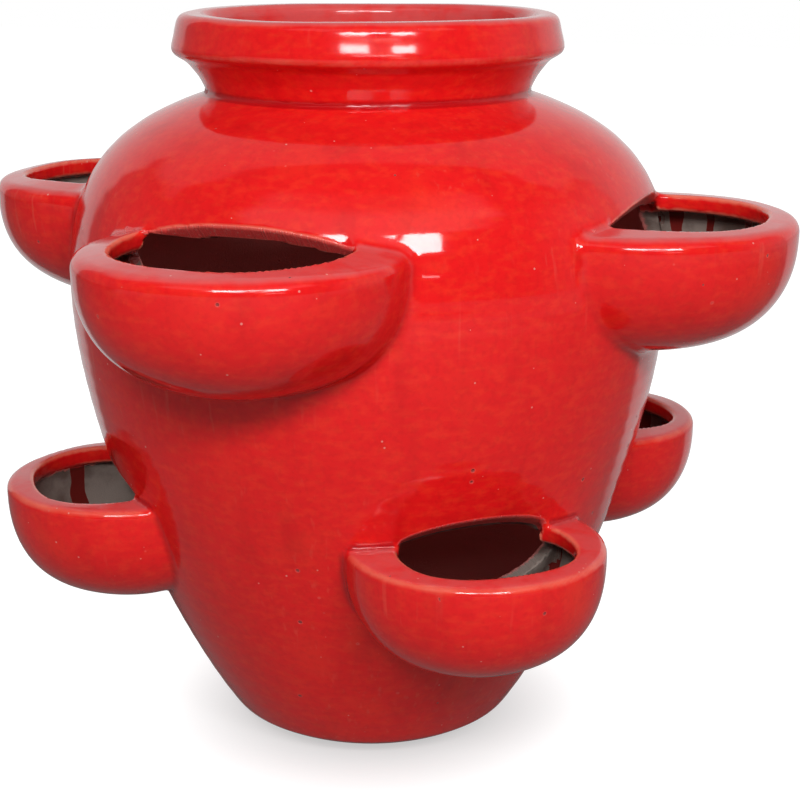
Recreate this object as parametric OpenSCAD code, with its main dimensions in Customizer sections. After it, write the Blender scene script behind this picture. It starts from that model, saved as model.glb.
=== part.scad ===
// Strawberry jar planter: a heavy glazed jar, thrown in two sections on a base
// slab, with a thick collar and two staggered rows of planting pockets luted
// over windows cut through its wall.
// Origin: centre of the foot on the floor. +Z up, the first upper pocket faces -Y.

/* [Jar] */
// Height from the floor to the top of the collar
jar_h = 460; // [420:5:500]
// Widest diameter, at the belly
belly_d = 375; // [357:1:393]
// Diameter of the flat foot on the floor
foot_d = 128; // [110:2:150]
// Diameter of the wall where the base slab ends
base_d = 183; // [170:1:190]
// Height of the base slab
base_h = 14; // [10:1:20]
// Thickness of the jar's wall
wall_t = 11; // [8:0.5:14]
// Diameter of the drain hole in the base slab
drain_d = 26; // [16:1:40]

/* [Collar] */
// Inner diameter of the mouth
mouth_d = 197; // [190:1:204]
// Thickness of the collar at its top
rim_t = 19; // [16:0.5:22]
// Thickness of the collar at its lower corner
collar_t = 22.5; // [20:0.5:26]
// Thickness of the neck's wall under the collar
neck_t = 11.5; // [9:0.5:14]
// Width of the ledge inside, where the mouth narrows to the neck
ledge_w = 11; // [9:0.5:13]
// Height of the collar's upright band
collar_h = 22; // [18:1:28]
// Height of the flare between the neck and the band
flare_h = 26; // [20:1:32]

/* [Upper pockets] */
// Outer radius of an upper pocket's bowl
upper_r = 93; // [84:1:98]
// How far the bowl's axis stands out of the jar's wall at the rims' level
upper_stand = -8.5; // [-14:0.5:-1]
// Depth of the bowl below its widest level
upper_depth = 71; // [62:1:80]
// Height of the bowls' widest level as a share of the jar's height
upper_level = 0.734; // [0.724:0.001:0.744]
// Height of the cut in the jar's wall above the pocket's opening
upper_arch_h = 14; // [11:1:18]
// Slope of the knife cut, falling inwards through the jar's wall
upper_knife_slope = 38; // [20:1:40]
// Width of the rim, from its outer side to its opening
upper_lip_w = 19.5; // [17:0.5:22]
// Width of the rim at the opening's widest place
upper_lip_end_w = 28; // [25:0.5:31]
// Distance of the opening's widest place from the bowl's axis, away from the jar
upper_opening_out = 3; // [0:1:10]
// Radius of the rounded outer edge of the rim
upper_rim_round = 8; // [6:0.5:10]

/* [Lower pockets] */
// Outer radius of a lower pocket's bowl
lower_r = 76; // [66:1:82]
// How far the bowl's axis stands out of the jar's wall at the rims' level
lower_stand = -3.5; // [-8:0.5:3]
// Depth of the bowl below its widest level
lower_depth = 69.5; // [60:0.5:76]
// Height of the bowls' widest level as a share of the jar's height
lower_level = 0.375; // [0.365:0.001:0.385]
// Height of the cut in the jar's wall above the pocket's opening
lower_arch_h = 9; // [7:1:14]
// Slope of the knife cut, falling inwards through the jar's wall
lower_knife_slope = 30; // [20:1:40]
// Width of the rim, from its outer side to its opening
lower_lip_w = 17; // [15:0.5:20]
// Width of the rim at the opening's widest place
lower_lip_end_w = 24; // [21:0.5:28]
// Distance of the opening's widest place from the bowl's axis, away from the jar
lower_opening_out = 14; // [8:1:18]
// Radius of the rounded outer edge of the rim
lower_rim_round = 4.5; // [3:0.5:7]

/* [Pocket walls] */
// Thickness of a pocket's wall
pocket_t = 10; // [8:0.5:12]
// Thickness of the rim around the opening
lip_t = 11; // [8:0.5:13]

/* [Hidden] */
// How each pocket was set by hand: degrees round the jar from -Y towards +X,
// millimetres above its row, slope of its rim away from the jar, millimetres
// further out than its row, and millimetres its opening is wider on each side
UPPER_SET = [[0, -2, 12, 0, 1], [92, 0, 6, 0, 0], [179, 2, 9, 1, 0], [266, 4, 8, 0, 0]];
LOWER_SET = [[45, -7, 4, 0, -1], [138, 8, 5, 0, 1], [221, 3, 6, -2, 2], [305, -3, 5, -4, 5]];
AROUND = 0;
RISE = 1;
SLOPE = 2;
FURTHER = 3;
WIDER = 4;

// Fullness of the bowls: 2 is an ellipse, more is squarer
bowl_fullness = 2.45;
// Fullness of the openings' outlines
opening_fullness = 2.3;
// Share of a bowl's depth that the window in the jar's wall reaches down
window_drop = 0.55;
// Reach of an opening's outline from its widest place towards the jar
opening_in = 36;
// Height of the cavity's upright edge under the rim
cavity_edge = 2;
// How far the collar's clay reaches down the shoulder below the neck
collar_seat = 4;
// How far a cutter runs past the face it cuts
past = 2;

// Each row's sizes in one list, and their places in it
R = 0;
STAND = 1;
DEPTH = 2;
LEVEL = 3;
ARCH = 4;
KNIFE = 5;
LIP = 6;
LIP_END = 7;
OUT = 8;
ROUND = 9;
UPPER = [
    upper_r, upper_stand, upper_depth, jar_h * upper_level,
    upper_arch_h, upper_knife_slope, upper_lip_w, upper_lip_end_w, upper_opening_out,
    upper_rim_round
];
LOWER = [
    lower_r, lower_stand, lower_depth, jar_h * lower_level,
    lower_arch_h, lower_knife_slope, lower_lip_w, lower_lip_end_w, lower_opening_out,
    lower_rim_round
];

// Heights on the jar
belly_z = jar_h * 0.645;
join_z = jar_h * 0.5;
band_z = jar_h - collar_h;
neck_z = band_z - flare_h;
seat_z = neck_z - collar_seat;

// Radii of the collar and neck, all measured from the mouth
mouth_r = mouth_d / 2;
rim_r = mouth_r + rim_t;
collar_r = mouth_r + collar_t;
neck_bore_r = mouth_r - ledge_w;
neck_r = neck_bore_r + neck_t;

// Directions and reaches of the outline's curves
base_lean = 37;
base_pull = jar_h * 0.113;
belly_pull = jar_h * 0.22;
shoulder_pull = jar_h * 0.147;
neck_lean = 16.6;
neck_pull = jar_h * 0.135;

SIDE = [
    [base_d / 2, base_h],
    [base_d / 2 + base_pull * sin(base_lean), base_h + base_pull * cos(base_lean)],
    [belly_d / 2, belly_z - belly_pull],
    [belly_d / 2, belly_z]
];
SHOULDER = [
    [belly_d / 2, belly_z],
    [belly_d / 2, belly_z + shoulder_pull],
    [neck_r + neck_pull * cos(neck_lean), neck_z - neck_pull * sin(neck_lean)],
    [neck_r, neck_z]
];
side_steps = 12;
shoulder_steps = 12;

// Point on a cubic curve, and the unit normal on its right-hand side
function curve(p, t) =
    pow(1 - t, 3) * p[0] + 3 * pow(1 - t, 2) * t * p[1]
    + 3 * (1 - t) * t * t * p[2] + pow(t, 3) * p[3];
function heading(p, t) =
    pow(1 - t, 2) * (p[1] - p[0]) + 2 * (1 - t) * t * (p[2] - p[1]) + t * t * (p[3] - p[2]);
function right_of(d) = [d[1], -d[0]] / norm(d);

// The wall's outline, in by a distance, from the base slab to the neck
function wall_line(inset) = concat(
    [for (i = [0 : side_steps]) let (t = i / side_steps)
        curve(SIDE, t) - inset * right_of(heading(SIDE, t))],
    [for (i = [1 : shoulder_steps]) let (t = i / shoulder_steps)
        curve(SHOULDER, t) - inset * right_of(heading(SHOULDER, t))]
);
function reversed(list) = [for (i = [len(list) - 1 : -1 : 0]) list[i]];

// Quarter of a full-bodied ellipse from [0, -b] to [a, 0]
function bowl_line(a, b, steps) = [
    for (i = [0 : steps]) let (t = 90 * i / steps)
        [a * pow(sin(t), 2 / bowl_fullness), -b * pow(cos(t), 2 / bowl_fullness)]
];
// Arc of a circle in degrees
function arc(centre, r, from, to, steps) = [
    for (i = [0 : steps]) let (a = from + (to - from) * i / steps)
        centre + r * [cos(a), sin(a)]
];
// Outline of a window or opening, from its widest place right, left, up and down
function eye(right, left, up, down, steps) = [
    for (i = [0 : 4 * steps - 1]) let (
        a = 90 * i / steps,
        x = sign(cos(a)) * pow(abs(cos(a)), 2 / opening_fullness),
        y = sign(sin(a)) * pow(abs(sin(a)), 2 / opening_fullness)
    ) [x * (x > 0 ? right : left), y * (y > 0 ? up : down)]
];

// The jar without its hollow, which the pockets are fitted against
module jar_core() {
    rotate_extrude($fn = 96)
        polygon(concat([[0, base_h]], wall_line(0), [[0, neck_z]]));
}

// One ring of the jar's wall between two level cuts
module wall_ring(z0, z1) {
    inner = wall_line(wall_t);
    foot = inner[0] - (inner[0][1] - base_h) * [tan(base_lean), 1];
    intersection() {
        rotate_extrude($fn = 96)
            polygon(concat(
                wall_line(0),
                [[neck_bore_r, neck_z], [neck_bore_r, inner[len(inner) - 1][1]]],
                reversed(inner),
                [foot]
            ));
        translate([0, 0, z0])
            cylinder(r = belly_d, h = z1 - z0, $fn = 48);
    }
}

// Height of a bowl's sloping rim above its widest level, at x from the bowl's axis
function rim_z(row, place, x) = row[ROUND] + (row[R] - row[ROUND] - x) * tan(place[SLOPE]);

// Outer radius of the jar's wall at a height
function wall_r(z) = lookup(z, [for (p = wall_line(0)) [p[1], p[0]]]);

// Distance from the jar's axis to a bowl's axis
function reach(row, place) = wall_r(row[LEVEL]) + row[STAND] + place[FURTHER];

// Half of the width of a pocket's opening at x from the bowl's axis, towards the jar
function half_opening(row, place, x) =
    let (
        towards = row[OUT] - x,
        share = towards > 0 ? towards / opening_in : -towards / (row[R] - row[LIP] - row[OUT])
    )
    (row[R] - row[LIP_END] + place[WIDER])
    * pow(1 - pow(min(share, 1), opening_fullness), 1 / opening_fullness);

// Window through the jar's wall behind a pocket, cut with the knife held sloping.
// Its corners meet the ends of the pocket's opening, further in on the round wall.
module window(row, place) {
    bowl_r = reach(row, place);
    near_r = wall_r(row[LEVEL] + place[RISE]);
    widest = row[R] - row[LIP_END];
    half_w = half_opening(row, place, sqrt(near_r * near_r - widest * widest) - bowl_r);
    corner_r = sqrt(near_r * near_r - half_w * half_w);
    rise = (near_r - corner_r) * tan(row[KNIFE]);
    arch_h = (row[ARCH] - rise) * cos(row[KNIFE]);
    translate([corner_r - bowl_r, 0, rim_z(row, place, half_w)])
        rotate([0, -row[KNIFE], 0])
            rotate([90, 0, -90])
                translate([0, 0, -4 * wall_t])
                    linear_extrude(height = 8 * wall_t)
                        polygon(eye(half_w, half_w, arch_h, row[DEPTH] * window_drop, 6));
}

// Pocket: a bowl whose thick rim slopes away from the jar, open towards the wall
module pocket(row, place) {
    r = row[R];
    edge = row[ROUND];
    half_w = r - row[LIP_END] + place[WIDER];
    crown = r * 0.5;
    crown_z = rim_z(row, place, crown);
    cavity_r = r - pocket_t;
    roof_z = rim_z(row, place, cavity_r) - lip_t;
    cavity_z = roof_z - cavity_edge;
    difference() {
        rotate_extrude($fn = 96)
            polygon(concat(
                bowl_line(r, row[DEPTH], 9),
                arc([r - edge, 0], edge, 0, 90 - place[SLOPE], 4),
                [[crown, crown_z], [0, crown_z]]
            ));
        rotate_extrude($fn = 96)
            polygon(concat(
                [for (p = bowl_line(cavity_r, row[DEPTH] - pocket_t + cavity_z, 8)) p + [0, cavity_z]],
                [[cavity_r, roof_z], [crown, crown_z - lip_t], [0, crown_z - lip_t]]
            ));
        translate([row[OUT], 0, cavity_z - past])
            linear_extrude(height = r)
                polygon(eye(r - row[LIP] - row[OUT], opening_in, half_w, half_w, 6));
    }
}

// Puts a pocket or its window in place on the jar
module set_on_jar(row, place) {
    rotate([0, 0, place[AROUND]])
        translate([0, -reach(row, place), row[LEVEL] + place[RISE]])
            rotate([0, 0, -90])
                children();
}

module windows(row, places) {
    for (place = places)
        set_on_jar(row, place)
            window(row, place);
}

module seated_pocket(row, place) {
    color("firebrick")
        difference() {
            set_on_jar(row, place)
                pocket(row, place);
            jar_core();
        }
}

// Base slab: rounded up into the wall, with one drain hole
module base_slab() {
    color("brown")
        difference() {
            rotate_extrude($fn = 96)
                polygon([
                    [0, 0],
                    [foot_d / 2, 0],
                    [foot_d / 2 + (base_d - foot_d) * 0.21, base_h * 0.38],
                    [foot_d / 2 + (base_d - foot_d) * 0.38, base_h * 0.72],
                    [base_d / 2, base_h],
                    [0, base_h]
                ]);
            translate([0, 0, -past])
                cylinder(d = drain_d, h = base_h + 2 * past, $fn = 48);
        }
}

module lower_body() {
    color("firebrick")
        difference() {
            wall_ring(base_h, join_z);
            windows(LOWER, LOWER_SET);
        }
}

module upper_body() {
    color("red")
        difference() {
            wall_ring(join_z, seat_z);
            windows(UPPER, UPPER_SET);
        }
}

// Collar: neck, flare and upright band with softened edges, thrown on the shoulder
module neck_collar() {
    edge = 5;
    shoulder_r = neck_r + (neck_z - seat_z) / tan(neck_lean);
    color("indianred")
        rotate_extrude($fn = 96)
            polygon(concat(
                [[neck_bore_r, seat_z], [shoulder_r, seat_z], [neck_r, neck_z]],
                [[neck_r + (collar_r - neck_r) * 0.6, band_z - edge]],
                arc([collar_r - edge, band_z + edge * 0.4], edge, -60, 0, 3),
                arc([rim_r - edge, jar_h - edge], edge, 0, 90, 4),
                arc([mouth_r + edge, jar_h - edge], edge, 90, 180, 4),
                [[mouth_r, band_z], [neck_bore_r, neck_z]]
            ));
}

base_slab();
lower_body();
upper_body();
neck_collar();
seated_pocket(UPPER, UPPER_SET[0]);  // upper_pocket_1
seated_pocket(UPPER, UPPER_SET[1]);  // upper_pocket_2
seated_pocket(UPPER, UPPER_SET[2]);  // upper_pocket_3
seated_pocket(UPPER, UPPER_SET[3]);  // upper_pocket_4
seated_pocket(LOWER, LOWER_SET[0]);  // lower_pocket_1
seated_pocket(LOWER, LOWER_SET[1]);  // lower_pocket_2
seated_pocket(LOWER, LOWER_SET[2]);  // lower_pocket_3
seated_pocket(LOWER, LOWER_SET[3]);  // lower_pocket_4
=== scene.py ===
import math

import bpy
import numpy as np
import openvdb
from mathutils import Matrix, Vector


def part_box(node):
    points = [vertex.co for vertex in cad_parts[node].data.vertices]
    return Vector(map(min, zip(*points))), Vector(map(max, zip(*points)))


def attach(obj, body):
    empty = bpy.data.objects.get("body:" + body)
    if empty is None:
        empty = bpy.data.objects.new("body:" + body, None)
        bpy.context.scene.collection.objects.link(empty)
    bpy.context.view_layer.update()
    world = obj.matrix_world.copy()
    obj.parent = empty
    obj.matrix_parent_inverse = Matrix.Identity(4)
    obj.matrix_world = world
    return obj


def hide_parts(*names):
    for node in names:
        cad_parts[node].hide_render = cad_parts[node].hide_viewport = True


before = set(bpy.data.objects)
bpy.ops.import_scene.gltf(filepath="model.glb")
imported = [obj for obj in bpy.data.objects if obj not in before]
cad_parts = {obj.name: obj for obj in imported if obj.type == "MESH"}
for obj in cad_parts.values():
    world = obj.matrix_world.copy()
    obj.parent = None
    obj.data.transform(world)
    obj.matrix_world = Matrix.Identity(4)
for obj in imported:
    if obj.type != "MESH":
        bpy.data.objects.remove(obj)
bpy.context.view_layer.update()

# ------------------------------------------------------------------------------------------------
# Thrown jar: base slab, lower body, upper body and neck collar. Stoneware thrown in two sections
# on a slab, joined at the belly, with a thick folded collar round the mouth. It is shaped here as
# one distance in millimetres, negative in the clay, and its four rings wear one red glaze.

MM = 0.001


class Outline:
    """Signed distance to a closed outline, kept on a fine grid and read back smoothly."""

    def __init__(self, points, soft=0.0, step=0.8, room=24.0):
        corners = np.array(points, float)
        self.low = corners.min(0) - room
        self.step = step
        across = np.ceil((corners.max(0) + room - self.low) / step).astype(int) + 1
        x = (self.low[0] + step * np.arange(across[0]))[:, None]
        y = (self.low[1] + step * np.arange(across[1]))[None, :]
        nearest = np.full(across, np.inf)
        inside = np.zeros(across, bool)
        for (px, py), (qx, qy) in zip(corners, np.roll(corners, -1, 0)):
            ex, ey = qx - px, qy - py
            if ex == 0 and ey == 0:
                continue
            t = np.clip(((x - px) * ex + (y - py) * ey) / (ex * ex + ey * ey), 0, 1)
            nearest = np.minimum(nearest, (px + ex * t - x) ** 2 + (py + ey * t - y) ** 2)
            if ey != 0:
                inside ^= ((py > y) != (qy > y)) & (x < px + (y - py) * ex / ey)
        self.grid = np.sqrt(nearest) * np.where(inside, -1, 1)
        if soft:
            self.soften(soft)

    def soften(self, radius):
        """Rounds the outline's corners by about a radius."""
        reach = int(math.ceil(3 * radius / self.step))
        weights = np.exp(-0.5 * (np.arange(-reach, reach + 1) * self.step / radius) ** 2)
        weights /= weights.sum()
        for axis in (0, 1):
            ends = [(reach, reach) if k == axis else (0, 0) for k in (0, 1)]
            wide = np.pad(self.grid, ends, mode="reflect", reflect_type="odd")
            n = self.grid.shape[axis]
            self.grid = sum(
                w * np.take(wide, np.arange(k, k + n), axis) for k, w in enumerate(weights)
            )

    def __call__(self, x, y):
        u = (x - self.low[0]) / self.step
        v = (y - self.low[1]) / self.step
        i = np.clip(np.floor(u).astype(int), 1, self.grid.shape[0] - 3)
        j = np.clip(np.floor(v).astype(int), 1, self.grid.shape[1] - 3)
        s = np.clip(u - i, 0, 1)
        t = np.clip(v - j, 0, 1)
        beyond = np.hypot(u - i - s, v - j - t) * self.step
        row = cubic_weights(t)
        total = 0
        for a, wx in enumerate(cubic_weights(s)):
            line = sum(self.grid[i + a - 1, j + b - 1] * wy for b, wy in enumerate(row))
            total = total + wx * line
        return total + beyond


def cubic_weights(t):
    """Weights of four neighbours in a row, which give a curve with no kinks."""
    return (
        -0.5 * t + t * t - 0.5 * t ** 3,
        1 - 2.5 * t * t + 1.5 * t ** 3,
        0.5 * t + 2 * t * t - 1.5 * t ** 3,
        -0.5 * t * t + 0.5 * t ** 3,
    )


def joined(a, b, fillet):
    """Two pieces of clay luted together, with a fillet smeared into the corner."""
    h = np.maximum(fillet - np.abs(a - b), 0) / fillet
    return np.minimum(a, b) - h ** 3 * fillet / 6


def cut(a, b, rounding):
    """Clay a with shape b cut out of it, its new edge wiped round with a wet finger."""
    return -joined(-a, b, rounding)


def bend(p0, p1, p2, p3, steps):
    """Points along a cubic curve."""
    t = np.linspace(0, 1, steps + 1)[:, None]
    p0, p1, p2, p3 = (np.array(p, float) for p in (p0, p1, p2, p3))
    return (1 - t) ** 3 * p0 + 3 * (1 - t) ** 2 * t * p1 + 3 * (1 - t) * t * t * p2 + t ** 3 * p3


def arc(cx, cy, r, start, end, steps=6):
    """Points along an arc of a circle, in degrees."""
    a = np.radians(np.linspace(start, end, steps + 1))
    return np.stack([cx + r * np.cos(a), cy + r * np.sin(a)], 1)


def inset(line, wall):
    """An open line moved to its left-hand side, the clay's inner face."""
    run = np.gradient(line, axis=0)
    run /= np.linalg.norm(run, axis=1)[:, None]
    return line + wall * np.stack([-run[:, 1], run[:, 0]], 1)


def wander(p, size, seed, waves=7):
    """Slow unevenness of hand-made clay, about -1 to 1, over lengths near a size."""
    rng = np.random.default_rng(seed)
    total = 0
    for _ in range(waves):
        way = rng.normal(size=3)
        way *= 2 * math.pi / size * rng.uniform(0.6, 1.5) / np.linalg.norm(way)
        total = total + np.sin(p @ way.astype(p.dtype) + rng.uniform(0, 2 * math.pi))
    return total / math.sqrt(2 * waves)


base_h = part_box("base_slab")[1].z / MM
join_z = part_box("lower_body")[1].z / MM
seat_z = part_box("upper_body")[1].z / MM
jar_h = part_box("neck_collar")[1].z / MM
belly_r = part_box("upper_body")[1].x / MM
base_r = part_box("base_slab")[1].x / MM
collar_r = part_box("neck_collar")[1].x / MM
foot_r = 64
neck_r = 99
rim_r = 117.5
mouth_r = 98.5
bore_r = 87.5
wall_t = 11
drain_r = 13
neck_z = 412
band_z = 438
belly_z = jar_h * 0.645
past_axis = -20  # outlines run past the axis they are turned about, and have no edge on it

# side and shoulder: two curves whose handles follow the jar's outline
side = bend(
    (base_r, base_h),
    (base_r + 31.3, base_h + 41.5),
    (belly_r, belly_z - jar_h * 0.22),
    (belly_r, belly_z),
    40,
)
shoulder = bend(
    (belly_r, belly_z),
    (belly_r, belly_z + jar_h * 0.147),
    (neck_r + 59.5, neck_z - 17.7),
    (neck_r, neck_z),
    40,
)
body_line = np.concatenate([side, shoulder[1:]])
foot_line = [(past_axis, 0), (foot_r, 0), (75.5, 5.3), (84.9, 10.1)]
band_edge = 4.5
rim_edge = 6
floor_inset = 15
collar_line = np.concatenate([
    [(104, 422), (112, 432)],
    arc(collar_r - band_edge, band_z + 1.5, band_edge, -65, 0),
    arc(rim_r - rim_edge, jar_h - rim_edge, rim_edge, 5, 90),
    arc(mouth_r + rim_edge, jar_h - rim_edge, rim_edge, 90, 180),
    [(mouth_r, band_z), (bore_r, neck_z)],
])
sponged = 1.6
wall_outline = Outline(
    np.concatenate([
        foot_line, body_line, collar_line, inset(body_line, wall_t)[::-1],
        [(base_r - floor_inset, base_h), (past_axis, base_h)],
    ]),
    soft=sponged,
)
core_outline = Outline(
    np.concatenate([
        foot_line, body_line, collar_line[:-1], [(bore_r, jar_h), (past_axis, jar_h)],
    ]),
    soft=sponged,
)
ring_depth = 0.05
ring_turn = 0.55  # radians of a throwing ring to each millimetre up the wall
unevenness = 0.5
drain_wipe = 3


def thrown(p):
    """The jar as it comes off the wheel, a little uneven, with its drain hole."""
    around = np.hypot(p[:, 0], p[:, 1])
    rings = ring_depth * np.sin(p[:, 2] * ring_turn + 1.5 * wander(p, 240, seed=3, waves=4))
    d = wall_outline(around, p[:, 2]) + rings + unevenness * wander(p, 150, seed=5)
    d = cut(d, around - drain_r, drain_wipe)
    return np.maximum(d, np.maximum(-p[:, 2], p[:, 2] - jar_h))


floor_lift = 4
floor_edge = 6
voxel = 2.42
block = 8
far_off = 99.0  # a distance that only says nowhere near


def slope_of(shape, p, e):
    """The shape's uphill direction at points, from two steps along each axis."""
    g = np.empty_like(p)
    for axis in range(3):
        step = np.zeros(3)
        step[axis] = e
        g[:, axis] = (shape(p + step) - shape(p - step)) / (2 * e)
    return g


def skin(shape, from_z, to_z, widest):
    """Corners, quads and outward directions of a shape's surface between two levels. All parts of
    the jar share one lattice, so neighbours have the same corners along their seam. Inside the
    foot the seam is lifted, so that the base slab keeps the whole floor of the jar."""
    width = block * voxel
    near = width * 0.95 + 4  # a little past half a block's diagonal
    first = np.floor(np.array([-widest, -widest, from_z - 2 * voxel]) / width).astype(int)
    last = np.ceil(np.array([widest, widest, to_z + 2 * voxel]) / width).astype(int)
    ranges = [np.arange(a, b) for a, b in zip(first, last)]
    cells = np.stack(np.meshgrid(*ranges, indexing="ij"), -1).reshape(-1, 3)
    keep = cells[shape((cells + 0.5) * width - 0.5 * voxel) < near]
    grid = openvdb.FloatGrid(far_off)
    inner = np.stack(np.meshgrid(*[np.arange(block)] * 3, indexing="ij"), -1).reshape(1, -1, 3)
    for part in np.array_split(keep, max(1, len(keep) // 400)):
        corner = part * block
        p = (corner[:, None, :] + inner) * voxel
        d = shape(p.reshape(-1, 3).astype(np.float32)).reshape(len(part), block, block, block)
        for at, values in zip(corner, d.astype(np.float32)):
            grid.copyFromArray(np.ascontiguousarray(values), ijk=tuple(int(n) for n in at))
    points, quads = grid.convertToQuads(isovalue=0.0)
    middle = points[quads].mean(1) * voxel
    on_floor = np.hypot(middle[:, 0], middle[:, 1]) < base_r - floor_edge
    level = middle[:, 2] - floor_lift * on_floor
    quads = quads[(level >= from_z) & (level < to_z)]
    used, quads = np.unique(quads, return_inverse=True)
    quads = quads.reshape(-1, 4)
    p = points[used].astype(float) * voxel
    for _ in range(3):
        g = slope_of(shape, p, 0.3)
        move = shape(p)[:, None] * g / np.maximum((g * g).sum(1), 0.2)[:, None]
        size = np.linalg.norm(move, axis=1)[:, None]
        p -= move * np.minimum(1, 0.6 * voxel / np.maximum(size, 1e-9))
    facing = slope_of(shape, p, 0.5)
    return p, quads, facing / np.linalg.norm(facing, axis=1)[:, None]


def bending_of(shape, p, spread=2.5):
    """How sharply a surface bends at points, in 1/mm: more than 0 on edges, less in creases."""
    ways = np.concatenate([np.eye(3), -np.eye(3)])
    return (sum(shape(p + spread * way) for way in ways) - 6 * shape(p)) / spread ** 2


def add(tree, kind, sockets=None, **settings):
    """Puts a node in a tree and sets or links its sockets."""
    made = tree.nodes.new("ShaderNode" + kind)
    for key, value in settings.items():
        setattr(made, key, value)
    for key, value in (sockets or {}).items():
        if isinstance(value, bpy.types.NodeSocket):
            tree.links.new(value, made.inputs[key])
        else:
            made.inputs[key].default_value = value
    return made


def math_of(tree, operation, *values):
    sockets = dict(enumerate(values))
    return add(tree, "Math", sockets, operation=operation).outputs[0]


def times(tree, first, second):
    return math_of(tree, "MULTIPLY", first, second)


def most_of(tree, first, second):
    return math_of(tree, "MAXIMUM", first, second)


def between(tree, value, start, end, low=0.0, high=1.0):
    """A value's smooth rise from low at start to high at end."""
    return add(tree, "MapRange", {
        "Value": value, "From Min": start, "From Max": end, "To Min": low, "To Max": high,
    }, interpolation_type="SMOOTHSTEP").outputs[0]


def blended(tree, share, first, second):
    """The first colour, and the second over it where its share is 1."""
    return add(tree, "Mix", {0: share, 6: first, 7: second}, data_type="RGBA").outputs[2]


def uneven(tree, place, scale, detail=2.0):
    """Noise from 0 to 1, at so many lumps to the metre."""
    return add(tree, "TexNoise", {
        "Vector": place, "Scale": scale, "Detail": detail,
    }, noise_dimensions="3D").outputs[0]


def stretched(tree, place, *scales):
    """A place scaled along each axis, for marks longer one way than another."""
    sockets = {0: place, 1: scales}
    return add(tree, "VectorMath", sockets, operation="MULTIPLY").outputs[0]


def streaks(tree, across, scale, detail):
    """Noise from 0 to 1 that only changes across a face, for marks that run along it."""
    return add(tree, "TexNoise", {
        "W": across, "Scale": scale, "Detail": detail,
    }, noise_dimensions="1D").outputs[0]


def recipe(name, takes, gives):
    """An empty node group with named inputs and outputs."""
    tree = bpy.data.node_groups.new(name, "ShaderNodeTree")
    for label, value in takes.items():
        kind = "Float"
        if isinstance(value, tuple):
            kind = "Color" if len(value) == 4 else "Vector"
        socket = tree.interface.new_socket(label, in_out="INPUT", socket_type="NodeSocket" + kind)
        socket.default_value = value
    for label, kind in gives.items():
        tree.interface.new_socket(label, in_out="OUTPUT", socket_type="NodeSocket" + kind)
    inputs = tree.nodes.new("NodeGroupInput").outputs
    outputs = tree.nodes.new("NodeGroupOutput").inputs
    return tree, inputs, outputs


def use(tree, group, sockets):
    """Puts a node group in a material and links its inputs."""
    made = tree.nodes.new("ShaderNodeGroup")
    made.node_tree = group
    for key, value in sockets.items():
        if isinstance(value, bpy.types.NodeSocket):
            tree.links.new(value, made.inputs[key])
        else:
            made.inputs[key].default_value = value
    return made.outputs


# red glaze: thin and orange on edges, deep in creases, with patches where the coat is thin, and a
# painted highlight, pale pink, on faces turned up
coat, takes, gives = recipe(
    "red_coat",
    {
        "Place": (0.0, 0.0, 0.0), "Bending": 0.0, "Upward": 0.0,
        "Full": (0.80, 0.010, 0.011, 1), "Thin": (0.84, 0.19, 0.12, 1),
        "Deep": (0.36, 0.002, 0.005, 1), "Patchy": (0.88, 0.042, 0.016, 1),
        "Painted Sheen": (0.66, 0.13, 0.13, 1),
    },
    {"Colour": "Color", "Height": "Float"},
)
place = takes["Place"]
lumps = uneven(coat, place, 60.0, 3.0)
sharp = math_of(coat, "MULTIPLY_ADD", lumps, 0.16, takes["Bending"])
thin = between(coat, sharp, 0.22, 0.46)
creased = math_of(coat, "MULTIPLY_ADD", lumps, 0.05, takes["Bending"])
deep = between(coat, creased, -0.02, -0.22)
patches = between(coat, uneven(coat, place, 9.0, 4.0), 0.52, 0.72, 0.0, 0.7)
mottled = times(coat, patches, between(coat, uneven(coat, place, 38.0, 3.0), 0.4, 0.7))
flat = stretched(coat, place, 1.0, 1.0, 2.2)
grain = between(coat, uneven(coat, flat, 110.0, 8.0), 0.42, 0.72, 0.0, 0.42)
mottled = most_of(coat, times(coat, mottled, 0.8), grain)
runs = stretched(coat, place, 42.0, 42.0, 3.0)
drawn = between(coat, uneven(coat, runs, 1.0, 3.0), 0.5, 0.8, 0.0, 0.28)
brush = stretched(coat, place, 240.0, 240.0, 5.0)
strokes = between(coat, uneven(coat, brush, 1.0, 2.0), 0.60, 0.75, 0.0, 0.16)
strokes = times(coat, strokes, between(coat, uneven(coat, place, 7.0), 0.48, 0.60))
speck = between(coat, uneven(coat, place, 300.0, 3.0), 0.42, 0.72, 0.0, 0.13)
# painted highlight: faces turned up, and the mouth's inner face, made pale pink as if lit from
# above
painted_sheen = between(coat, takes["Upward"], 0.55, 1.0, 0.0, 0.62)
painted_sheen = times(coat, painted_sheen, between(coat, lumps, 0.30, 0.62, 0.45, 1.0))
colour = takes["Full"]
for share, kind in (
    (mottled, "Patchy"), (strokes, "Thin"), (speck, "Deep"), (drawn, "Deep"),
    (times(coat, deep, 0.8), "Deep"), (painted_sheen, "Painted Sheen"), (thin, "Thin"),
):
    colour = blended(coat, share, colour, takes[kind])
coat.links.new(colour, gives["Colour"])
ripple = times(coat, uneven(coat, place, 55.0, 1.0), 0.10)
peel = math_of(coat, "MULTIPLY_ADD", uneven(coat, place, 260.0, 1.0), 0.012, ripple)
coat.links.new(peel, gives["Height"])

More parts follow.
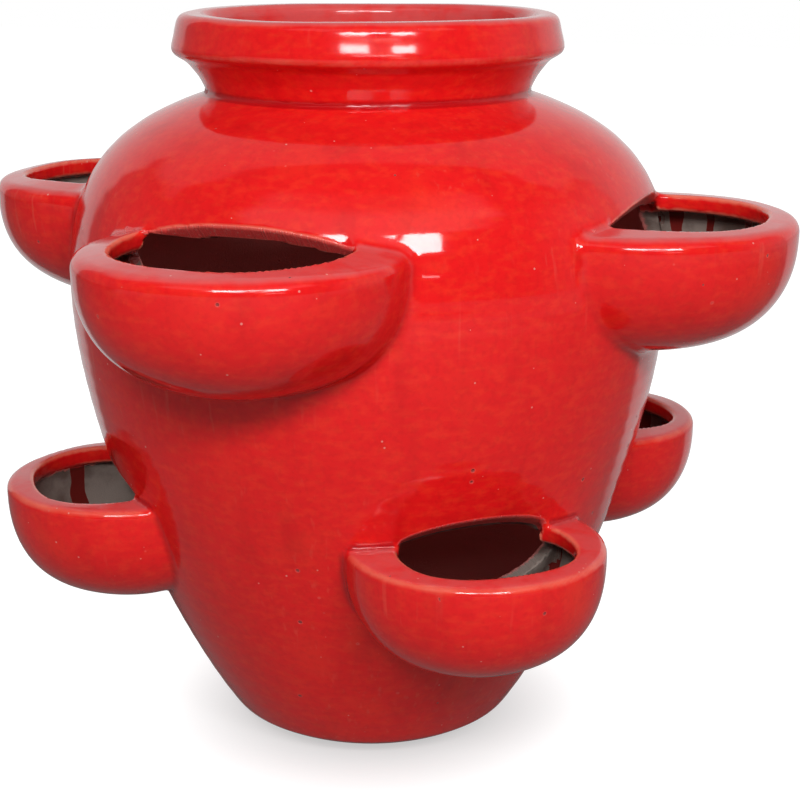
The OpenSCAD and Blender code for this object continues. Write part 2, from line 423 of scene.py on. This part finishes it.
# pinholes with pale rims where gas came through the glaze. The same recipe puts in pale grit
pinholes, takes, gives = recipe(
    "pinholes",
    {"Place": (0.0, 0.0, 0.0), "Spacing": 70.0, "Size": 0.0011, "Share": 0.6},
    {"Hole": "Float", "Ring": "Float"},
)
cells = add(pinholes, "TexVoronoi", {"Vector": takes["Place"], "Scale": takes["Spacing"]})
away = math_of(pinholes, "DIVIDE", cells.outputs["Distance"], takes["Spacing"])
pick = add(pinholes, "SeparateColor", {0: cells.outputs["Color"]})
crowd = between(pinholes, uneven(pinholes, takes["Place"], 11.0), 0.40, 0.64)
share = times(pinholes, crowd, takes["Share"])
here = math_of(pinholes, "LESS_THAN", pick.outputs[0], share)
own_size = between(pinholes, pick.outputs[1], 0, 1, 0.4, 1.2)
near = math_of(pinholes, "DIVIDE", away, times(pinholes, takes["Size"], own_size))
hole = times(pinholes, here, between(pinholes, near, 1.0, 0.6))
ring = times(pinholes, here, between(pinholes, near, 1.5, 1.1))
pinholes.links.new(hole, gives["Hole"])
pinholes.links.new(math_of(pinholes, "SUBTRACT", ring, hole), gives["Ring"])

# bare clay where the glaze stops: a ragged pale edge, runs that went further, and gritty grey
bare_clay, takes, gives = recipe(
    "bare_clay",
    {
        "Place": (0.0, 0.0, 0.0), "Bare": 0.0, "Across": 0.0, "Inside": 0.0,
        "Grey": (0.23, 0.185, 0.16, 1), "Stain": (0.10, 0.065, 0.052, 1),
        "Brown": (0.52, 0.14, 0.125, 1),
    },
    {"Bare": "Float", "Edge": "Float", "Run": "Float", "Colour": "Color", "Height": "Float"},
)
place = takes["Place"]
turned = math_of(
    bare_clay, "MULTIPLY_ADD", takes["Across"], 0.05, uneven(bare_clay, place, 25.0)
)
column = streaks(bare_clay, turned, 1.0, 0.0)
run = between(bare_clay, column, 0.60, 0.72, 0.0, 32.0)
run = times(bare_clay, run, math_of(bare_clay, "SUBTRACT", 1.0, takes["Inside"]))
ragged = uneven(bare_clay, place, 210.0, 3.0)
ragged = math_of(bare_clay, "MULTIPLY_ADD", ragged, 4.0, -2.0)
unrun = math_of(bare_clay, "ADD", takes["Bare"], ragged)
depth = math_of(bare_clay, "SUBTRACT", unrun, run)
bare = between(bare_clay, depth, -0.1, 0.4)
bare_clay.links.new(bare, gives["Bare"])
unrun = between(bare_clay, unrun, -0.1, 0.4)
bare_clay.links.new(math_of(bare_clay, "SUBTRACT", unrun, bare), gives["Run"])
edge = times(
    bare_clay, between(bare_clay, depth, -1.3, -0.3), between(bare_clay, depth, 0.3, 0.0)
)
bare_clay.links.new(edge, gives["Edge"])
dirt = between(bare_clay, uneven(bare_clay, place, 34.0, 5.0), 0.42, 0.62)
colour = blended(bare_clay, dirt, takes["Grey"], takes["Stain"])
colour = blended(bare_clay, takes["Inside"], colour, takes["Brown"])
bare_clay.links.new(colour, gives["Colour"])
tooth = times(bare_clay, uneven(bare_clay, place, 900.0, 3.0), 0.35)
bare_clay.links.new(times(bare_clay, tooth, bare), gives["Height"])

# drag marks of the knife on the faces it cut, with pale crumbs of grit
knife_cut, takes, gives = recipe(
    "knife_cut",
    {"Place": (0.0, 0.0, 0.0), "Knife": far_off, "Across": 0.0},
    {"Cut": "Float", "Crumb": "Float", "Height": "Float"},
)
cut_face = between(knife_cut, takes["Knife"], 1.3, 0.6)
knife_cut.links.new(cut_face, gives["Cut"])
dragged = math_of(
    knife_cut, "ADD", takes["Across"], uneven(knife_cut, takes["Place"], 90.0)
)
drag = streaks(knife_cut, dragged, 1.1, 2.0)
crumb = between(knife_cut, uneven(knife_cut, takes["Place"], 620.0, 2.0), 0.60, 0.68)
crumb = most_of(knife_cut, crumb, between(knife_cut, drag, 0.62, 0.72, 0.0, 0.5))
knife_cut.links.new(times(knife_cut, crumb, cut_face), gives["Crumb"])
knife_cut.links.new(times(knife_cut, drag, times(knife_cut, cut_face, 0.6)), gives["Height"])

red_glaze = bpy.data.materials.new("red_glaze")
red_glaze.use_nodes = True
tree = red_glaze.node_tree
principled = tree.nodes["Principled BSDF"]
principled.inputs["IOR"].default_value = 1.45
place = add(tree, "TexCoord").outputs["Object"]
mark = {
    name: add(tree, "Attribute", attribute_name=name).outputs["Fac"]
    for name in ("bending", "upward", "bare", "knife", "across", "inside")
}
glaze = use(tree, coat, {
    "Place": place, "Bending": mark["bending"], "Upward": mark["upward"],
})
pits = use(tree, pinholes, {"Place": place})
grit = use(tree, pinholes, {"Place": place, "Spacing": 117.0, "Size": 0.0007, "Share": 0.9})
clay = use(tree, bare_clay, {
    "Place": place, "Bare": mark["bare"], "Across": mark["across"], "Inside": mark["inside"],
})
blade = use(tree, knife_cut, {"Place": place, "Knife": mark["knife"], "Across": mark["across"]})
colour = glaze["Colour"]
for mask, share, over in (
    (blade["Cut"], 0.7, (0.85, 0.09, 0.085, 1)),
    (blade["Crumb"], 0.5, (0.72, 0.30, 0.26, 1)),
    (grit["Hole"], 0.55, (0.80, 0.40, 0.34, 1)),
    (pits["Ring"], 0.14, (0.85, 0.36, 0.30, 1)),
    (pits["Hole"], 0.75, (0.16, 0.05, 0.045, 1)),
    (clay["Run"], 1.0, (0.13, 0.012, 0.010, 1)),
    (clay["Edge"], 0.6, (0.62, 0.30, 0.25, 1)),
):
    colour = blended(tree, times(tree, mask, share), colour, over)
colour = blended(tree, clay["Bare"], colour, clay["Colour"])
tree.links.new(colour, principled.inputs["Base Color"])
rough = between(tree, uneven(tree, place, 30.0, 3.0), 0.3, 0.7, 0.07, 0.13)
for mask, least in ((clay["Bare"], 0.85), (pits["Hole"], 0.5), (blade["Cut"], 0.3)):
    rough = most_of(tree, rough, times(tree, mask, least))
tree.links.new(rough, principled.inputs["Roughness"])
height = math_of(tree, "ADD", glaze["Height"], clay["Height"])
height = math_of(tree, "ADD", height, blade["Height"])
height = math_of(tree, "MULTIPLY_ADD", pits["Hole"], -0.5, height)
bump = add(tree, "Bump", {"Height": height, "Distance": MM})
tree.links.new(bump.outputs[0], principled.inputs["Normal"])


def glazed(name, corners, quads, facing, marks):
    """One piece of the jar as a mesh in metres, in red glaze, standing for its CAD node."""
    used, index = np.unique(quads, return_inverse=True)
    mesh = bpy.data.meshes.new(name + "_clay")
    mesh.from_pydata((corners[used] * MM).tolist(), [], index.reshape(-1, 4).tolist())
    mesh.polygons.foreach_set("use_smooth", np.ones(len(quads), bool))
    mesh.normals_split_custom_set_from_vertices(facing[used].tolist())
    for label, values in marks.items():
        layer = mesh.attributes.new(label, "FLOAT", "POINT")
        layer.data.foreach_set("value", values[used].astype(np.float32))
    mesh.materials.append(red_glaze)
    piece = bpy.data.objects.new(name + "_clay", mesh)
    bpy.context.scene.collection.objects.link(piece)
    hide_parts(name)
    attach(piece, "root")


glazed_into_wall = 9.3
glaze_end_steepness = 4
glazed_below_neck = 4
mouth_below_neck = 14
# how strongly the wall takes the painted highlight, and over what rise above the neck the collar
# takes it in full
wall_sheen_share = 0.3
sheen_rise = 16
inner_face = 8
spare = 9


def wall_marks(corners, core, glazed_to=glazed_into_wall):
    """How far past the glaze's end the wall's corners lie, most steeply inside the jar. core is
    their distance from the jar's outside, so the glaze's end lies so far into the wall."""
    bare = (-core - glazed_to) * glaze_end_steepness
    mouth = neck_z - glazed_below_neck - corners[:, 2]
    at_mouth = corners[:, 2] > neck_z - mouth_below_neck
    return np.where(at_mouth, np.minimum(bare, mouth), bare)


for name, from_z, to_z in (("base_slab", -spare, base_h), ("neck_collar", seat_z, jar_h + spare)):
    corners, quads, facing = skin(thrown, from_z, to_z, collar_r + spare)
    around = np.hypot(corners[:, 0], corners[:, 1])
    core = core_outline(around, corners[:, 2])
    inward = -(corners[:, :2] * facing[:, :2]).sum(1) / around
    in_mouth = (corners[:, 2] > neck_z) * np.clip(2 * inward, 0, 1)
    # painted highlight share: full on the collar from a little above the neck, weaker below it
    painted_sheen = np.clip((corners[:, 2] - neck_z) / sheen_rise, wall_sheen_share, 1)
    glazed(name, corners, quads, facing, {
        "bending": bending_of(thrown, corners),
        "upward": np.maximum(painted_sheen * facing[:, 2], in_mouth),
        "bare": wall_marks(corners, core),
        "knife": np.full(len(corners), far_off), "across": np.zeros(len(corners)),
        "inside": np.clip(-core - inner_face, 0, 1),
    })

# ------------------------------------------------------------------------------------------------
# Lower body and its four pockets: half bowls made apart, each with a flat rim that slopes away
# from the jar, luted on with slip over a window cut through the wall with a knife. Every pocket
# was set by hand, so each has its own angle round the jar, height, slope and opening.

lip_t = 11
pocket_t = 10
bowl_fullness = 2.45
bowl_slack = 0.2
crown_share = 0.5
hollow_neck = 2
hollow_wipe = 3
opening_fullness = 2.3
opening_in = 36
opening_drop = 4
opening_wipe = 5
eye_steps = 12
window_drop = 0.55
window_side = 3
window_half = 60
window_wipe = 2.2
pocket_room = 135
pocket_stand = 100
tuck = 1
luting_room = 60
# how far from a pocket's clay the painted highlight fades to the wall's share
sheen_seam_reach = 4
face_room = 8
# A row's sizes: r and edge are the rim's radius and its rounding, stand is how far the bowl's axis
# lies off the wall, level is its widest level, and lip and lip_end are the rim's widths in front
# and at its ends. The opening is widest so far out, and the knife's arch falls by so many degrees.
lower_row = dict(
    r=76, stand=-3.5, depth=69.5, level=jar_h * 0.375, arch=9, knife=34, lip=17, lip_end=24,
    out=14, edge=4.5, glazed_to=6.5,
)
# how each was set: degrees round the jar, rise, the rim's slope in degrees, further out, wider
lower_set = [(45, -7, 4, 0, -1), (138, 8, 5, 0, 1), (221, 3, 6, -2, 2), (305, -3, 5, -4, 5)]
lower_fillet = 6


def full_quarter(a, b, steps):
    """Quarter of a full-bodied ellipse from (0, -b) to (a, 0)."""
    t = np.radians(np.linspace(0, 90, steps + 1))
    return np.stack([
        a * np.sin(t) ** (2 / bowl_fullness), -b * np.abs(np.cos(t)) ** (2 / bowl_fullness)
    ], 1)


def eye(right, left, up, down):
    """Outline of a window or an opening, reaching so far each way from its widest place."""
    a = np.radians(np.arange(4 * eye_steps) * 90 / eye_steps)
    x = np.sign(np.cos(a)) * np.abs(np.cos(a)) ** (2 / opening_fullness)
    y = np.sign(np.sin(a)) * np.abs(np.sin(a)) ** (2 / opening_fullness)
    return np.stack([x * np.where(x > 0, right, left), y * np.where(y > 0, up, down)], 1)


class Pocket:
    """One pocket in its own axes: x out from the jar, y across, z up from its widest level."""

    def __init__(self, name, row, around, rise, slope, further, wider):
        self.name = name
        self.row = row
        r = row["r"]
        turn = math.radians(around)
        self.out = np.array([math.sin(turn), -math.cos(turn)])
        self.across = np.array([math.cos(turn), math.sin(turn)])
        wall_r = np.interp(row["level"], body_line[:, 1], body_line[:, 0])
        self.reach = wall_r + row["stand"] + further
        self.level = row["level"] + rise
        self.lean = math.tan(math.radians(slope))
        crown = r * crown_share
        bowl = np.concatenate([
            full_quarter(r, row["depth"], 20),
            arc(r - row["edge"], 0, row["edge"], 0, 90 - slope),
            [
                (crown, self.rim_z(crown)), (past_axis, self.rim_z(crown)),
                (past_axis, -row["depth"]),
            ],
        ])
        self.bowl = Outline(bowl, soft=1.2)
        inner_r = r - pocket_t
        self.roof = self.rim_z(inner_r) - lip_t
        neck = self.roof - hollow_neck
        hollow = full_quarter(inner_r, row["depth"] - pocket_t + neck, 16)
        hollow = np.concatenate([
            hollow + [0, neck], [
                (inner_r, self.roof), (crown, self.rim_z(crown) - lip_t),
                (past_axis, self.rim_z(crown) - lip_t), (past_axis, pocket_t - row["depth"]),
            ],
        ])
        self.hollow = Outline(hollow, soft=2.0)
        half_w = r - row["lip_end"] + wider
        opening_out = r - row["lip"] - row["out"]
        self.opening = Outline(eye(opening_out, opening_in, half_w, half_w), soft=1.0)
        # where the opening's outline meets the jar's wall, the window has its corners
        near = np.interp(self.level, body_line[:, 1], body_line[:, 0])
        at = math.sqrt(near ** 2 - (r - row["lip_end"]) ** 2) - self.reach
        towards = row["out"] - at
        share = towards / opening_in if towards > 0 else -towards / opening_out
        corner_y = half_w * (1 - min(share, 1) ** opening_fullness) ** (1 / opening_fullness)
        corner_r = math.sqrt(near ** 2 - corner_y ** 2)
        self.corner = np.array([corner_r - self.reach, self.rim_z(corner_y)])
        self.knife = math.radians(row["knife"])
        arch = (row["arch"] - (near - corner_r) * math.tan(self.knife)) * math.cos(self.knife)
        arch_half = corner_y + window_side
        over = eye(arch_half, arch_half, arch, 1)[:2 * eye_steps + 1]
        self.arch_line = Outline(
            np.concatenate([over, [(-arch_half, -lip_t), (arch_half, -lip_t)]]), soft=0.8
        )
        under_half = inner_r - window_side
        under = eye(under_half, under_half, 1, row["depth"] * window_drop)[2 * eye_steps:]
        self.under_line = Outline(under - [0, 1], soft=0.8)
        self.centre = np.array([*(self.out * self.reach), self.level])

    def rim_z(self, x):
        return self.row["edge"] + (self.row["r"] - self.row["edge"] - x) * self.lean

    def local(self, p):
        """Out from the bowl's axis, across, and up from its widest level."""
        return (
            p[:, 0] * self.out[0] + p[:, 1] * self.out[1] - self.reach,
            p[:, 0] * self.across[0] + p[:, 1] * self.across[1],
            p[:, 2] - self.level,
        )

    def window(self, p):
        """The knife's way through the wall: an arch that falls inwards, level below the rim."""
        x, y, z = self.local(p)
        x = x - self.corner[0]
        z = z - self.corner[1]
        along = x * math.cos(self.knife) + z * math.sin(self.knife)
        up = z * math.cos(self.knife) - x * math.sin(self.knife)
        over = np.maximum(self.arch_line(y, up), np.abs(along) - window_half)
        under = np.maximum(self.under_line(y, z), np.abs(x) - window_half)
        return np.minimum(over, under)

    def clay(self, p):
        """The pocket's bowl, hollow and opening, cut to sit against the jar."""
        x, y, z = self.local(p)
        around = np.hypot(x, y)
        d = self.bowl(around, z) + unevenness * wander(p + 40, 90, seed=11) + bowl_slack
        d = cut(d, self.hollow(around, z), hollow_wipe)
        opening = self.opening(x - self.row["out"], y)
        return cut(d, np.maximum(opening, self.roof - opening_drop - z), opening_wipe)

    def marks(self, p):
        """How far past the end of the glaze the hollow's corners lie, and where across it."""
        x, y, z = self.local(p)
        around = np.hypot(x, y)
        below = self.rim_z(self.row["r"] - self.row["lip"]) - lip_t - hollow_neck - z
        bowl = self.bowl(around, z)
        past = np.minimum(below, np.abs(bowl) - np.abs(self.hollow(around, z)))
        in_bowl = bowl < 2
        return np.where(in_bowl, past, -far_off), np.arctan2(y, x) * self.row["r"]


def luted(p, pockets, fillet, apart=False):
    """The thrown jar with a row of pockets on it. apart gives each piece's own distance too."""
    wall = thrown(p)
    core = core_outline(np.hypot(p[:, 0], p[:, 1]), p[:, 2])
    clays = np.full((len(pockets), len(p)), far_off, p.dtype)
    for k, pocket in enumerate(pockets):
        away = np.linalg.norm(p - pocket.centre.astype(p.dtype), axis=1)
        near = np.flatnonzero(away < pocket_room)
        if len(near):
            q = p[near]
            wall[near] = cut(wall[near], pocket.window(q), window_wipe)
            clays[k, near] = np.maximum(pocket.clay(q), -(core[near] + tuck))
    whole = wall
    for clay in clays:
        whole = np.where(clay < luting_room, joined(whole, clay, fillet), whole)
    return (whole, wall, clays, core) if apart else whole


def lute(body, row_name, row, places, fillet, from_z, to_z):
    """Makes a body of the jar and the pockets on it, told apart in the middle of each fillet."""
    pockets = [
        Pocket(f"{row_name}_pocket_{n + 1}", row, *place) for n, place in enumerate(places)
    ]

    def shape(p):
        return luted(p, pockets, fillet)

    corners, quads, facing = skin(shape, from_z, to_z, belly_r + pocket_stand)
    _, _, clays, core = luted(corners, pockets, fillet, apart=True)
    bare = wall_marks(corners, core, row["glazed_to"])
    knife = np.full(len(corners), far_off)
    across = np.zeros(len(corners))
    for clay, pocket in zip(clays, pockets):
        past, turn = pocket.marks(corners)
        bare = np.maximum(bare, np.minimum(past, 20))
        cut_face = np.abs(pocket.window(corners))
        near = (cut_face < face_room) & (clay > 0.5)
        knife = np.where(near, np.minimum(knife, cut_face), knife)
        across = np.where(clay < face_room, turn, across)
        across = np.where(near, pocket.local(corners)[1], across)
    # painted highlight share: full on the pockets and their fillets, weaker on the wall away from
    # them
    painted_sheen = np.clip(1.5 - clays.min(0) / sheen_seam_reach, wall_sheen_share, 1)
    marks = {
        "bending": bending_of(shape, corners), "upward": painted_sheen * facing[:, 2], "bare": bare,
        "knife": knife, "across": across, "inside": np.clip(-core - inner_face - 0.5, 0, 1),
    }
    _, wall, clays, _ = luted(corners[quads].mean(1), pockets, fillet, apart=True)
    owner = np.where(clays.min(0) < wall, clays.argmin(0), -1)
    glazed(body, corners, quads[owner == -1], facing, marks)
    for n, pocket in enumerate(pockets):
        glazed(pocket.name, corners, quads[owner == n], facing, marks)


lute("lower_body", "lower", lower_row, lower_set, lower_fillet, base_h, join_z)

# ------------------------------------------------------------------------------------------------
# Upper body and its four pockets, made and luted on like the lower ones but larger, with a thicker
# and rounder rim and a taller arch cut above each opening.

upper_row = dict(
    r=93, stand=-8.5, depth=71, level=jar_h * 0.734, arch=14, knife=47, lip=19.5, lip_end=28,
    out=3, edge=8, glazed_to=9.3,
)
upper_set = [(0, -2, 12, 0, 1), (92, 0, 6, 0, 0), (179, 2, 9, 1, 0), (266, 4, 8, 0, 0)]
upper_fillet = 9

lute("upper_body", "upper", upper_row, upper_set, upper_fillet, join_z, seat_z)

# ------------------------------------------------------------------------------------------------
# Studio: the camera where the photograph was taken from, a plain pale floor, a wide window above
# and behind the camera, a white backdrop that rises behind the jar and over it, a pale ceiling
# and pale walls at both sides.

camera_turn = math.radians(23.3)
camera_far = 2.403 * jar_h * MM
camera_up = 1.129 * jar_h * MM
camera_pitch = math.radians(15.39)
camera_yaw = math.radians(0.99)
focal_px = 1764
picture_px = 800
sensor_mm = 36
camera_data = bpy.data.cameras.new("camera")
camera_data.sensor_width = sensor_mm
camera_data.lens = focal_px * sensor_mm / picture_px
camera = bpy.data.objects.new("camera", camera_data)
camera.location = (
    camera_far * math.sin(camera_turn), -camera_far * math.cos(camera_turn), camera_up
)
camera.rotation_euler = (math.pi / 2 - camera_pitch, 0, camera_turn - camera_yaw)
bpy.context.scene.collection.objects.link(camera)
bpy.context.scene.camera = camera

floor_half = 6.0
floor_mesh = bpy.data.meshes.new("floor")
floor_mesh.from_pydata([
    (-floor_half, -floor_half, 0), (floor_half, -floor_half, 0),
    (floor_half, floor_half, 0), (-floor_half, floor_half, 0),
], [], [(0, 1, 2, 3)])
floor = bpy.data.objects.new("floor", floor_mesh)
bpy.context.scene.collection.objects.link(floor)
floor_paint = bpy.data.materials.new("floor_paint")
floor_paint.use_nodes = True
tree = floor_paint.node_tree
paint = tree.nodes["Principled BSDF"]
paint.inputs["Base Color"].default_value = (0.3, 0.3, 0.3, 1)
paint.inputs["Roughness"].default_value = 0.9
paint.inputs["Specular IOR Level"].default_value = 0.0
paint.inputs["Emission Color"].default_value = (1, 1, 1, 1)


def bearing_of(tree, place):
    """A place's or direction's bearing in radians, to the right of the camera's, its rise, and how
    far it lies towards the camera."""
    turned = add(tree, "VectorRotate", {
        "Vector": place, "Angle": -camera_turn,
    }, rotation_type="Z_AXIS").outputs[0]
    split = add(tree, "SeparateXYZ", {0: turned}).outputs
    towards = times(tree, split[1], -1.0)
    return math_of(tree, "ARCTAN2", split[0], towards), split[2], towards


def past_bearing(tree, bearing, start, end):
    """A smooth rise from 0 at one bearing to 1 at another, both in degrees."""
    return between(tree, bearing, math.radians(start), math.radians(end))


def behind(tree, bearing):
    """1 where the white backdrop stands behind the jar, 0 elsewhere."""
    right_end = past_bearing(tree, bearing, 116, 121)
    left_end = past_bearing(tree, bearing, -131, -136)
    return math_of(tree, "ADD", right_end, left_end)


# white to the camera but for a soft shade round the foot, and pale in the glaze only behind the
# jar and to its front
path = add(tree, "LightPath").outputs
place = add(tree, "TexCoord").outputs["Object"]
from_jar = add(tree, "VectorMath", {0: place}, operation="LENGTH").outputs["Value"]
white = between(tree, from_jar, 0.055, 0.18, 0.52, 1.0)
bearing, _, _ = bearing_of(tree, place)
swept = times(tree, behind(tree, bearing), between(tree, from_jar, 0.25, 0.6, 0.0, 0.47))
ahead = times(
    tree, past_bearing(tree, bearing, -85, -78), between(tree, from_jar, 1.2, 2.4, 0.0, 0.28)
)
mirrored = times(tree, path["Is Glossy Ray"], most_of(tree, swept, ahead))
seen = math_of(tree, "MULTIPLY_ADD", path["Is Camera Ray"], white, mirrored)
tree.links.new(seen, paint.inputs["Emission Strength"])
floor_mesh.materials.append(floor_paint)


def pane(turn, rise, wide, high, radiance):
    """One pane of the window, placed and sized by degrees seen from the jar: so many to the
    right of the camera, above the floor, wide and high."""
    a = camera_turn + math.radians(turn)
    e = math.radians(rise)
    way = Vector((math.sin(a) * math.cos(e), -math.cos(a) * math.cos(e), math.sin(e)))
    data = bpy.data.lights.new("window_pane", "AREA")
    data.shape = "RECTANGLE"
    data.size = 2 * window_far * math.tan(math.radians(wide / 2))
    data.size_y = 2 * window_far * math.tan(math.radians(high / 2))
    data.energy = radiance * math.pi * data.size * data.size_y
    thing = bpy.data.objects.new("window_pane", data)
    thing.location = window_aim + way * window_far
    thing.rotation_euler = (-way).to_track_quat("-Z", "Y").to_euler()
    bpy.context.scene.collection.objects.link(thing)


window_far = 2.4
window_aim = Vector((0, 0, 0.25))
bright, dim, dimmer = 27, 10, 8
for place_and_size, radiance in (
    ((-9.5, 31, 15, 10), bright), ((20, 31, 12, 10), bright), ((5, 33.5, 8, 5), bright),
    ((4, 22, 26, 1.5), dim), ((18, 13, 12, 1.5), dimmer),
):
    pane(*place_and_size, radiance)

world = bpy.data.worlds.new("room")
world.use_nodes = True
tree = world.node_tree
bearing, steep, towards = bearing_of(tree, add(tree, "TexCoord").outputs["Generated"])
backdrop = times(tree, behind(tree, bearing), between(tree, steep, 0.75, 0.60))
overhead = between(tree, towards, -0.10, -0.16)
overhead = times(tree, overhead, between(tree, steep, 0.50, 0.65))
backdrop = most_of(tree, backdrop, overhead)
ahead = past_bearing(tree, math_of(tree, "ABSOLUTE", bearing), 66, 54)
ceiling = times(tree, between(tree, steep, 0.57, 0.62), between(tree, steep, 0.95, 0.70))
ceiling = times(tree, ahead, ceiling)
low_down = between(tree, steep, 0.75, 0.35)
right_wall = times(tree, past_bearing(tree, bearing, 55, 95), low_down)
left_wall = times(tree, past_bearing(tree, bearing, -60, -95), low_down)
# how bright each looks in the glaze
mirrored = times(tree, backdrop, between(tree, steep, 0.15, 0.75, 0.66, 0.36))
mirrored = most_of(tree, mirrored, times(tree, right_wall, 0.38))
mirrored = most_of(tree, mirrored, times(tree, left_wall, 0.12))
mirrored = math_of(tree, "ADD", mirrored, 0.08)
mirrored = math_of(tree, "MULTIPLY_ADD", ceiling, 0.8, mirrored)
# how much soft light each gives
fill = 0.13
for pale, share in ((backdrop, 0.30), (right_wall, 0.55), (left_wall, 0.42), (ceiling, 0.2)):
    fill = math_of(tree, "MULTIPLY_ADD", pale, share, fill)
path = add(tree, "LightPath").outputs
lit = add(tree, "Mix", {0: path["Is Glossy Ray"], 2: fill, 3: mirrored}).outputs[0]
lit = add(tree, "Mix", {0: path["Is Camera Ray"], 2: lit, 3: 1.0}).outputs[0]
tree.links.new(lit, tree.nodes["Background"].inputs["Strength"])
tree.nodes["Background"].inputs["Color"].default_value = (1, 1, 1, 1)
bpy.context.scene.world = world
bpy.context.scene.view_settings.view_transform = "Standard"
